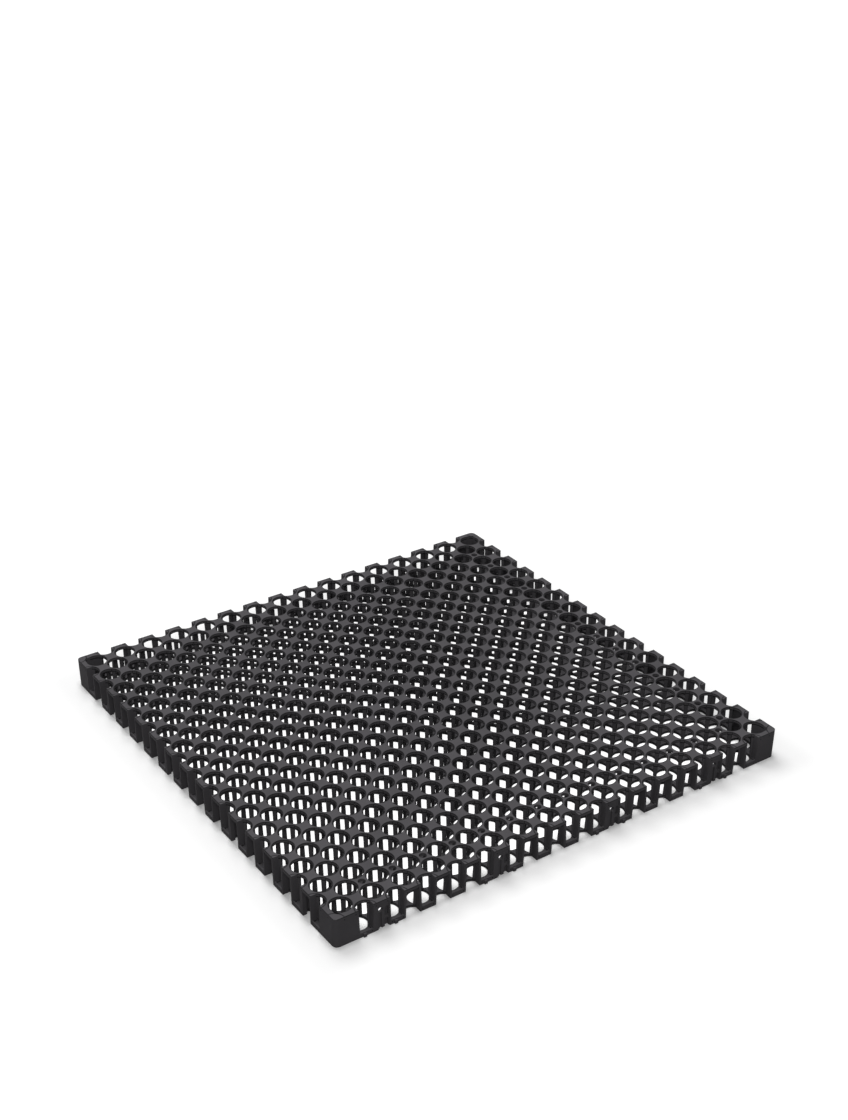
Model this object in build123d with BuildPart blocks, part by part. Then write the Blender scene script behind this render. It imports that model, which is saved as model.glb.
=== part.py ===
"""Drainage cell: a square moulded panel cored from both faces in a checkerboard.

Every second cell is a round pocket open at the top, and the cells between them are round pockets open
at the bottom. Each pocket tapers and stops at the plate on the far side, so what is left is a top
plate, a bottom plate and a slim four-sided pillar wherever four cells meet. Units are millimetres,
Z is up, and the origin is at the middle of the underside.
"""
import math
import os

from build123d import *

# Overall sizes
panel_side = 500.0      # length and width over the edges
panel_height = 30.0     # underside to top face
plate_top = 3.0         # thickness of the top plate
plate_bottom = 2.4      # thickness of the bottom plate
corner_radius = 5.0     # outer corners seen from above
cells_per_row = 31      # whole cells along one side, an odd number

# Pockets
web = 1.9               # narrowest plastic between two pocket mouths that meet corner to corner
draft = 2.2             # taper of a pocket's wall, in degrees
corner_fillet = 4.0     # inner corner of the four corner pockets
pin_hole = 7.0          # diameter of the small holes along two edges

# Notches where pockets meet the edge
edge_wall = 0.8         # plastic between two notch mouths
lip_height = 4.6        # top of the lip along the outside of each bottom tab
lip = 1.3               # its thickness
lip_ledge = 0.3         # step where the notch narrows behind the lip

# Couplings in the edge: sockets on two edges, tongues on the two that face them
coupling_first = 2      # cell number of the first coupling, counted along the edge
coupling_step = 8       # cells from one coupling to the next
cheek = 3.6             # plain upright at the left of a socket, flush with the edge
socket_recess = 1.2     # socket wall's face behind the edge
socket_wall = 3.4       # thickness of the socket wall
catch_hole = 5.5        # round hole through the socket wall
catch_level = 19.5      # its centre above the underside
catch_offset = 0.9      # to the left of the notch's middle
groove = 2.2            # width of the upright groove under the hole
groove_depth = 1.2
arch_width = 3.8        # round-topped hollows at the right of the hole
arch_depth = 2.2
arch_shelf = 12.0       # foot of the upper one above the underside
arch_height = 9.5       # height of the upper one
foot_height = 8.5       # height of the lower one, which starts at the underside
peg_width = 3.0         # locating peg on the bottom tab at either side of a socket
peg_height = 3.6
peg_proud = 1.5         # how far it stands out of the edge
peg_offset = 2.0        # to the left of the tab's middle
tongue_width = 2.6      # upright tongue at the left of its notch
tongue_depth = 4.0      # how far it reaches in from the edge

pitch = panel_side / (cells_per_row + 1)
pocket_radius = pitch / 2 ** 0.5 - web / 2
notch_width = pitch - edge_wall
half_side = panel_side / 2
middle = (cells_per_row - 1) / 2
last = cells_per_row - 1
top_level = panel_height - plate_top


def place(number):
    """Distance of a cell's centre from the middle of the panel."""
    return (number - middle) * pitch


def along_edge(positions, turns):
    """Locations on the panel's edges, with +Y pointing into the panel."""
    return [Rot(Z=90 * t) * Pos(x, -half_side) for t in turns for x in positions]


cells = [(i, j) for i in range(cells_per_row) for j in range(cells_per_row)]
top_pockets = [(place(i), place(j)) for i, j in cells if (i + j) % 2 == 0]
bottom_pockets = [(place(i), place(j)) for i, j in cells if (i + j) % 2 == 1]
corner_pockets = [Rot(Z=90 * t) * Pos(place(0), place(0)) for t in range(4)]
pin_holes = [(place(i), place(1)) for i in range(2, last, 2)]
pin_holes += [(place(last - 1), place(j)) for j in range(2, last, 2)]
top_notches = [place(i) for i in range(1, last, 2)]
bottom_notches = [place(i) for i in range(2, last, 2)]
sockets = [place(i) for i in range(coupling_first, last, coupling_step)]
tongues = [-x for x in sockets]
beside_sockets = [x for x in bottom_notches if x not in sockets]
beside_tongues = [x for x in bottom_notches if x not in tongues]
pegs = [x + side * pitch - peg_offset for x in sockets for side in (-1, 1)]

# A corner pocket is squared off toward the panel's corner
with BuildSketch() as corner_square:
    Rectangle(pocket_radius, pocket_radius, align=(Align.MAX, Align.MAX))
    outermost = corner_square.vertices().sort_by(Axis((0, 0, 0), (1, 1, 0)))[0]
    fillet(outermost, corner_fillet)

# A notch is half a pocket with straight sides
with BuildSketch() as notch:
    Circle(pocket_radius)
    Rectangle(notch_width, 2 * pocket_radius, mode=Mode.INTERSECT)

# Behind the lip a top notch goes on down to the bottom plate
lip_inset = (panel_height - lip_height) * math.tan(math.radians(draft)) + lip_ledge
with BuildSketch() as behind_lip:
    Circle(pocket_radius - lip_inset)
    with Locations((0, lip)):
        Rectangle(notch_width - 2 * lip_inset, pocket_radius, align=(Align.CENTER, Align.MIN),
                  mode=Mode.INTERSECT)

# A socket's notch leaves the cheek and a wall across the notch
with BuildSketch() as socket_notch:
    add(notch.sketch)
    with Locations((-notch_width / 2, 0)):
        Rectangle(cheek, pocket_radius, align=(Align.MIN, Align.MIN), mode=Mode.SUBTRACT)
    with Locations((0, socket_recess)):
        Rectangle(notch_width, socket_wall, align=(Align.CENTER, Align.MIN), mode=Mode.SUBTRACT)

# A tongue's notch leaves an upright bar on its left wall
with BuildSketch() as tongue_notch:
    add(notch.sketch)
    with Locations((-notch_width / 2, 0)):
        Rectangle(tongue_width, tongue_depth, align=(Align.MIN, Align.MIN), mode=Mode.SUBTRACT)

# What is cut into one socket's wall from the edge: the hole, two hollows and the groove
arch_place = notch_width / 2 - 0.6 * arch_width
with BuildPart() as socket_cuts:
    with BuildSketch(Plane.XZ):
        with Locations((-catch_offset, catch_level)):
            Circle(catch_hole / 2)
    extrude(amount=-socket_recess - socket_wall)
    with BuildSketch(Plane.XZ):
        for foot, height in ((0, foot_height), (arch_shelf, arch_height)):
            with Locations((arch_place, foot)):
                Rectangle(arch_width, height - arch_width / 2, align=(Align.CENTER, Align.MIN))
            with Locations((arch_place, foot + height - arch_width / 2)):
                Circle(arch_width / 2)
    extrude(amount=-socket_recess - arch_depth)
    with BuildSketch(Plane.XZ):
        with Locations((-catch_offset, 0)):
            Rectangle(groove, catch_level, align=(Align.CENTER, Align.MIN))
    extrude(amount=-socket_recess - groove_depth)

with BuildPart() as panel:
    with BuildSketch():
        RectangleRounded(panel_side, panel_side, corner_radius)
    extrude(amount=panel_height)

    # Pegs and couplings come first, while the slab is still plain and quick to cut
    with Locations(*along_edge(pegs, (0, 1))):
        Box(peg_width, 2 * peg_proud, peg_height, align=(Align.CENTER, Align.CENTER, Align.MIN))
    with Locations(*along_edge(sockets, (0, 1))):
        add(socket_cuts.part, mode=Mode.SUBTRACT)
    with BuildSketch():
        with Locations(*along_edge(sockets, (0, 1))):
            add(socket_notch.sketch)
        with Locations(*along_edge(tongues, (2, 3))):
            add(tongue_notch.sketch)
    extrude(amount=top_level, mode=Mode.SUBTRACT, clean=False)

    # Notches that open at the top, each with a lip left on its bottom tab
    with BuildSketch(Plane.XY.offset(panel_height)):
        with Locations(*along_edge(top_notches, range(4))):
            add(notch.sketch)
    extrude(amount=lip_height - panel_height, taper=draft, mode=Mode.SUBTRACT, clean=False)
    with BuildSketch(Plane.XY.offset(lip_height)):
        with Locations(*along_edge(top_notches, range(4))):
            add(behind_lip.sketch)
    extrude(amount=plate_bottom - lip_height, mode=Mode.SUBTRACT, clean=False)

    # Pockets that open at the top
    with BuildSketch(Plane.XY.offset(panel_height)):
        with Locations(*top_pockets):
            Circle(pocket_radius)
        with Locations(*corner_pockets):
            add(corner_square.sketch)
        with Locations(*pin_holes):
            Circle(pin_hole / 2)
    extrude(amount=plate_bottom - panel_height, taper=draft, mode=Mode.SUBTRACT, clean=False)

    # Pockets and notches that open at the bottom
    with BuildSketch():
        with Locations(*bottom_pockets):
            Circle(pocket_radius)
        with Locations(*along_edge(beside_sockets, (0, 1)), *along_edge(beside_tongues, (2, 3))):
            add(notch.sketch)
    extrude(amount=top_level, taper=draft, mode=Mode.SUBTRACT, clean=False)

os.makedirs("parts", exist_ok=True)
panel.part.label = "panel"
export_step(panel.part, "parts/panel.step")
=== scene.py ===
import math

import bpy
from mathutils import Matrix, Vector

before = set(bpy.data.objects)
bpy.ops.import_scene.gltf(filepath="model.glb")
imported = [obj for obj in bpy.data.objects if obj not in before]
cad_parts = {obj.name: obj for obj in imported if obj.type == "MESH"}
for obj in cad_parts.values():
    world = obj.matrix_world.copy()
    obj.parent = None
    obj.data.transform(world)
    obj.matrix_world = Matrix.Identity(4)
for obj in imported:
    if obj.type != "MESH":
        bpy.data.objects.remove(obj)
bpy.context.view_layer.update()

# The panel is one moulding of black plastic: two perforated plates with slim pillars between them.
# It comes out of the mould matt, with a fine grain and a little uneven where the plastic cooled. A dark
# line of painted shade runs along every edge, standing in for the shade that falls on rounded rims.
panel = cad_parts["panel"]
SIDE = 0.500
HEIGHT = 0.030
CELLS = 31                    # whole cells along one side
WEB = 0.0019                  # narrowest plastic between two mouths that meet corner to corner
PLATE_TOP = 0.003
PLATE_BOTTOM = 0.0024
TAPER = math.tan(math.radians(2.2))       # of each pocket's wall
PITCH = SIDE / (CELLS + 1)    # from one cell's centre to the next
MIDDLE = (CELLS - 1) / 2      # number of the middle cell, counted from 0
MOUTH = PITCH / math.sqrt(2) - WEB / 2    # radius of a pocket where it opens
TOP_GREY = (0.0850, 0.0812, 0.0870, 1)
# The black of the dark cooling patches, and of the shade painted along the edges.
MOTTLE_AND_EDGE_SHADE_BLACK = (0.014, 0.014, 0.015, 1)
EDGE_SHADE_STRENGTH = 0.85              # how much of the black an edge takes on
SOLID_SHARE = 0.4             # part of an edge line's reach that has its full strength
MOTTLE_SIZE = 0.045           # patches left by uneven cooling
MOTTLE_DETAIL = 3.0
MOTTLE_FADE = (0.3, 0.7)      # noise levels between which a patch turns dark
MOTTLE_DARK = 0.18
GRAIN_SIZE = 0.0006
GRAIN_DEPTH = 0.00006
GRAIN_STRENGTH = 0.25
ROUGHNESS = 0.56
MOTTLE_ROUGH = 0.1
GRAIN_ROUGH = 0.06
GLOSS = 0.03                  # well under a glossy plastic's


class Wire:
    """A socket of one node tree, so that shader maths reads as plain arithmetic."""

    def __init__(self, tree, socket):
        self.tree = tree
        self.socket = socket

    def node(self, kind, settings=None, output=0, **values):
        """Add a node; values go to its inputs by name, or by number as _0, _1 and so on."""
        made = self.tree.nodes.new(kind)
        for name, value in (settings or {}).items():
            setattr(made, name, value)
        for name, value in values.items():
            target = made.inputs[int(name[1:]) if name[0] == "_" else name.replace("_", " ")]
            if isinstance(value, Wire):
                self.tree.links.new(value.socket, target)
            else:
                target.default_value = value
        return Wire(self.tree, made.outputs[output])

    def maths(self, operation, first, *others):
        values = {f"_{n}": value for n, value in enumerate((first,) + others)}
        return self.node("ShaderNodeMath", {"operation": operation}, **values)

    def __add__(self, other):
        return self.maths("ADD", self, other)

    def __sub__(self, other):
        return self.maths("SUBTRACT", self, other)

    def __rsub__(self, other):
        return self.maths("SUBTRACT", other, self)

    def __mul__(self, other):
        return self.maths("MULTIPLY", self, other)

    def __abs__(self):
        return self.maths("ABSOLUTE", self)

    __radd__ = __add__
    __rmul__ = __mul__

    def larger(self, other):
        return self.maths("MAXIMUM", self, other)

    def ramp(self, low, high):
        """0 below low, 1 above high, smooth between."""
        return self.node("ShaderNodeMapRange", {"interpolation_type": "SMOOTHSTEP"},
                         Value=self, From_Min=low, From_Max=high)

    def near(self, value, reach):
        """1 close to a value, falling to 0 at a reach either side of it."""
        return 1 - abs(self - value).ramp(SOLID_SHARE * reach, reach)

    def noise(self, size, detail=2.0):
        """Soft grey speckle between 0 and 1 with lumps of about this size."""
        return self.node("ShaderNodeTexNoise", Vector=self, Scale=1 / size, Detail=detail)

    def blend(self, share, first, second):
        """A colour that goes from the first to the second as the share goes from 0 to 1."""
        return self.node("ShaderNodeMix", {"data_type": "RGBA"}, output=2, _0=share, _6=first, _7=second)

    def feed(self, shader, name):
        self.tree.links.new(self.socket, shader.inputs[name])


def from_axis(column, row):
    """Distance from the nearest pocket's axis; pockets stand where both diagonals are whole."""
    doubled = 0
    for diagonal in ((column + row) * 0.5, (column - row) * 0.5):
        off = diagonal - diagonal.maths("ROUND", diagonal)
        doubled = doubled + 2 * (off * off)
    return doubled.maths("SQRT", doubled) * PITCH


plastic = bpy.data.materials.new("black_polypropylene")
plastic.use_nodes = True
tree = plastic.node_tree
shader = tree.nodes["Principled BSDF"]
here = Wire(tree, tree.nodes.new("ShaderNodeTexCoord").outputs["Object"])
x, y, z = (here.node("ShaderNodeSeparateXYZ", output=n, Vector=here) for n in range(3))
column = x * (1 / PITCH) + MIDDLE
row = y * (1 / PITCH) + MIDDLE

# Wherever two of the mould's faces meet, a dark hairline of painted shade runs along the edge. Each face
# gives a mask that is 1 on it, and the product of two masks is the line. The slim pillars have finer
# ones.
LINE = 0.0008                 # how far the shade reaches from the edge
PILLAR_LINE = LINE / 2
CORNER_SHARE = 0.9            # part of a pitch within which a corner block has none from below
lid = z.near(HEIGHT, LINE)
ceiling = z.near(HEIGHT - PLATE_TOP, LINE)
shelf = z.near(PLATE_BOTTOM, LINE)
ground = z.near(0, LINE)
side = abs(x).larger(abs(y)).near(SIDE / 2, LINE)
mouth_of_top = from_axis(column, row) + (HEIGHT - z) * TAPER
mouth_of_bottom = from_axis(column + 1, row) + z * TAPER
top_wall = mouth_of_top.near(MOUTH, LINE)
cored = 1                     # 0 in the corner blocks, which no core enters from below
for along, off in ((x, y), (y, x)):
    gap = abs(abs(along) - (SIDE / 2 - PITCH)) + abs(abs(off) - SIDE / 2)
    cored = gap.ramp(CORNER_SHARE * PITCH, PITCH) * cored
bottom_wall = mouth_of_bottom.near(MOUTH, LINE) * cored
painted_edge_shade = mouth_of_top.near(MOUTH, PILLAR_LINE) * mouth_of_bottom.near(MOUTH, PILLAR_LINE) * cored
for one, other in ((lid, side), (ground, side), (lid, top_wall), (ceiling, top_wall),
                   (shelf, bottom_wall), (ground, bottom_wall)):
    painted_edge_shade = painted_edge_shade.larger(one * other)

mottle = here.noise(MOTTLE_SIZE, MOTTLE_DETAIL)
grain = here.noise(GRAIN_SIZE)
grey = here.blend(mottle.ramp(*MOTTLE_FADE) * MOTTLE_DARK, TOP_GREY, MOTTLE_AND_EDGE_SHADE_BLACK)
# The painted edge shade darkens the base colour along every edge.
here.blend(painted_edge_shade * EDGE_SHADE_STRENGTH, grey, MOTTLE_AND_EDGE_SHADE_BLACK).feed(shader, "Base Color")
(ROUGHNESS + MOTTLE_ROUGH * mottle + GRAIN_ROUGH * grain).feed(shader, "Roughness")
bump = here.node("ShaderNodeBump", Strength=GRAIN_STRENGTH, Distance=GRAIN_DEPTH, Height=grain)
bump.feed(shader, "Normal")
shader.inputs["Specular IOR Level"].default_value = GLOSS
panel.data.materials.clear()
panel.data.materials.append(plastic)

# The floor is a plain white sheet that keeps the panel's soft shadow. What the camera sees of it glows a
# little;
# under the panel painted light lifts the shadow so that it shows pale through the pockets, and it glows
# more far away.
REACH = 6.0
CLEARANCE = 0.0002            # between the sheet and the underside
UNDER = 0.235                 # half the side of the brighter square
UNDER_FADE = 0.01
SHADE = 0.262                 # half the side of the square that holds the shadow
SHADE_FADE = 0.05
FAR_START, FAR_END = 0.3, 2.5
GLOW, UNDER_PAINTED_LIGHT, BESIDE_GLOW, FAR_GLOW = 0.05, 0.77, 0.15, 0.8
BOUNCE = 0.15                 # how white the sheet is to light on its way
SHEET_WHITE = 0.75            # added to that for the camera


def seen_directly(tree):
    """1 for what the camera sees, straight on or in a reflection, and 0 for light on its way."""
    rays = tree.nodes.new("ShaderNodeLightPath")
    camera_ray, glossy, through = (Wire(tree, rays.outputs[f"Is {kind} Ray"])
                                   for kind in ("Camera", "Glossy", "Transmission"))
    return camera_ray + glossy + through


floor_mesh = bpy.data.meshes.new("floor")
floor_mesh.from_pydata([(-REACH, -REACH, 0), (REACH, -REACH, 0), (REACH, REACH, 0), (-REACH, REACH, 0)],
                       [], [(0, 1, 2, 3)])
floor = bpy.data.objects.new("floor", floor_mesh)
floor.location.z = -CLEARANCE
bpy.context.scene.collection.objects.link(floor)
sheet = bpy.data.materials.new("white_sheet")
sheet.use_nodes = True
tree = sheet.node_tree
tree.nodes.clear()
output = tree.nodes.new("ShaderNodeOutputMaterial")
seen = seen_directly(tree)
spot = Wire(tree, tree.nodes.new("ShaderNodeTexCoord").outputs["Object"])
painted_light_under_panel = 1
close_by = 1
for n in range(2):
    across = abs(spot.node("ShaderNodeSeparateXYZ", output=n, Vector=spot))
    painted_light_under_panel = (1 - across.ramp(UNDER - UNDER_FADE, UNDER + UNDER_FADE)) * painted_light_under_panel
    close_by = (1 - across.ramp(SHADE, SHADE + SHADE_FADE)) * close_by
away = spot.node("ShaderNodeVectorMath", {"operation": "LENGTH"}, output="Value", _0=spot)
# Painted light under the panel lifts the shadow that the panel casts there.
light = GLOW + UNDER_PAINTED_LIGHT * painted_light_under_panel + BESIDE_GLOW * (1 - close_by)
light = light + FAR_GLOW * away.ramp(FAR_START, FAR_END)
glow = tree.nodes.new("ShaderNodeEmission")
(seen * light).feed(glow, "Strength")
matt = tree.nodes.new("ShaderNodeBsdfDiffuse")
(BOUNCE + seen * SHEET_WHITE).feed(matt, "Color")
both = tree.nodes.new("ShaderNodeAddShader")
tree.links.new(glow.outputs[0], both.inputs[0])
tree.links.new(matt.outputs[0], both.inputs[1])
tree.links.new(both.outputs[0], output.inputs["Surface"])
floor_mesh.materials.append(sheet)

# Soft studio light: a wide lamp high over the back of the panel that casts the shadow, one low over the
# front corner and one straight above that both reach into the pockets, and an even dim room that the
# camera sees as white.
ROOM = 0.2
LAMPS = {  # place, diameter and watts
    "back_lamp": ((0.1, 1.4, 2.7), 2.0, 44),
    "front_lamp": ((-1.25, -1.85, 1.9), 1.0, 21),
    "top_lamp": ((0, 0, 3.0), 0.8, 27),
}
for name, (place, diameter, watts) in LAMPS.items():
    lamp_data = bpy.data.lights.new(name, "AREA")
    lamp_data.shape = "DISK"
    lamp_data.size = diameter
    lamp_data.energy = watts
    lamp = bpy.data.objects.new(name, lamp_data)
    lamp.location = place
    lamp.rotation_euler = (-lamp.location).to_track_quat("-Z", "Y").to_euler()
    bpy.context.scene.collection.objects.link(lamp)
world = bpy.data.worlds.new("room")
world.use_nodes = True
tree = world.node_tree
room = tree.nodes["Background"]
room.inputs["Color"].default_value = (1, 1, 1, 1)
(ROOM + (1 - ROOM) * seen_directly(tree)).feed(room, "Strength")
bpy.context.scene.world = world

# The camera stands off the front corner and looks down on the panel. Its lens is given in pixels of the
# photograph, and the point where it looks isn't the middle of the picture.
PHOTO_WIDTH, PHOTO_HEIGHT = 848, 1120
FOCAL = 1681.34
CENTRE = (419.92, 718.37)     # the pixel where the lens points
DISTANCE = 1.68413
AIM = Vector((0.00362, -0.00283, 0))
AZIMUTH = math.radians(-34.29)
ELEVATION = math.radians(33.48)
camera_data = bpy.data.cameras.new("camera")
camera_data.sensor_fit = "HORIZONTAL"
camera_data.sensor_width = 36
camera_data.lens = camera_data.sensor_width * FOCAL / PHOTO_WIDTH
camera_data.shift_x = (PHOTO_WIDTH / 2 - CENTRE[0]) / PHOTO_WIDTH
camera_data.shift_y = (CENTRE[1] - PHOTO_HEIGHT / 2) / PHOTO_WIDTH
camera = bpy.data.objects.new("camera", camera_data)
look = Vector((-math.sin(AZIMUTH) * math.cos(ELEVATION), math.cos(AZIMUTH) * math.cos(ELEVATION),
               -math.sin(ELEVATION)))
camera.location = AIM - DISTANCE * look
camera.rotation_euler = look.to_track_quat("-Z", "Y").to_euler()
bpy.context.scene.collection.objects.link(camera)
bpy.context.scene.camera = camera
bpy.context.scene.view_settings.view_transform = "Standard"
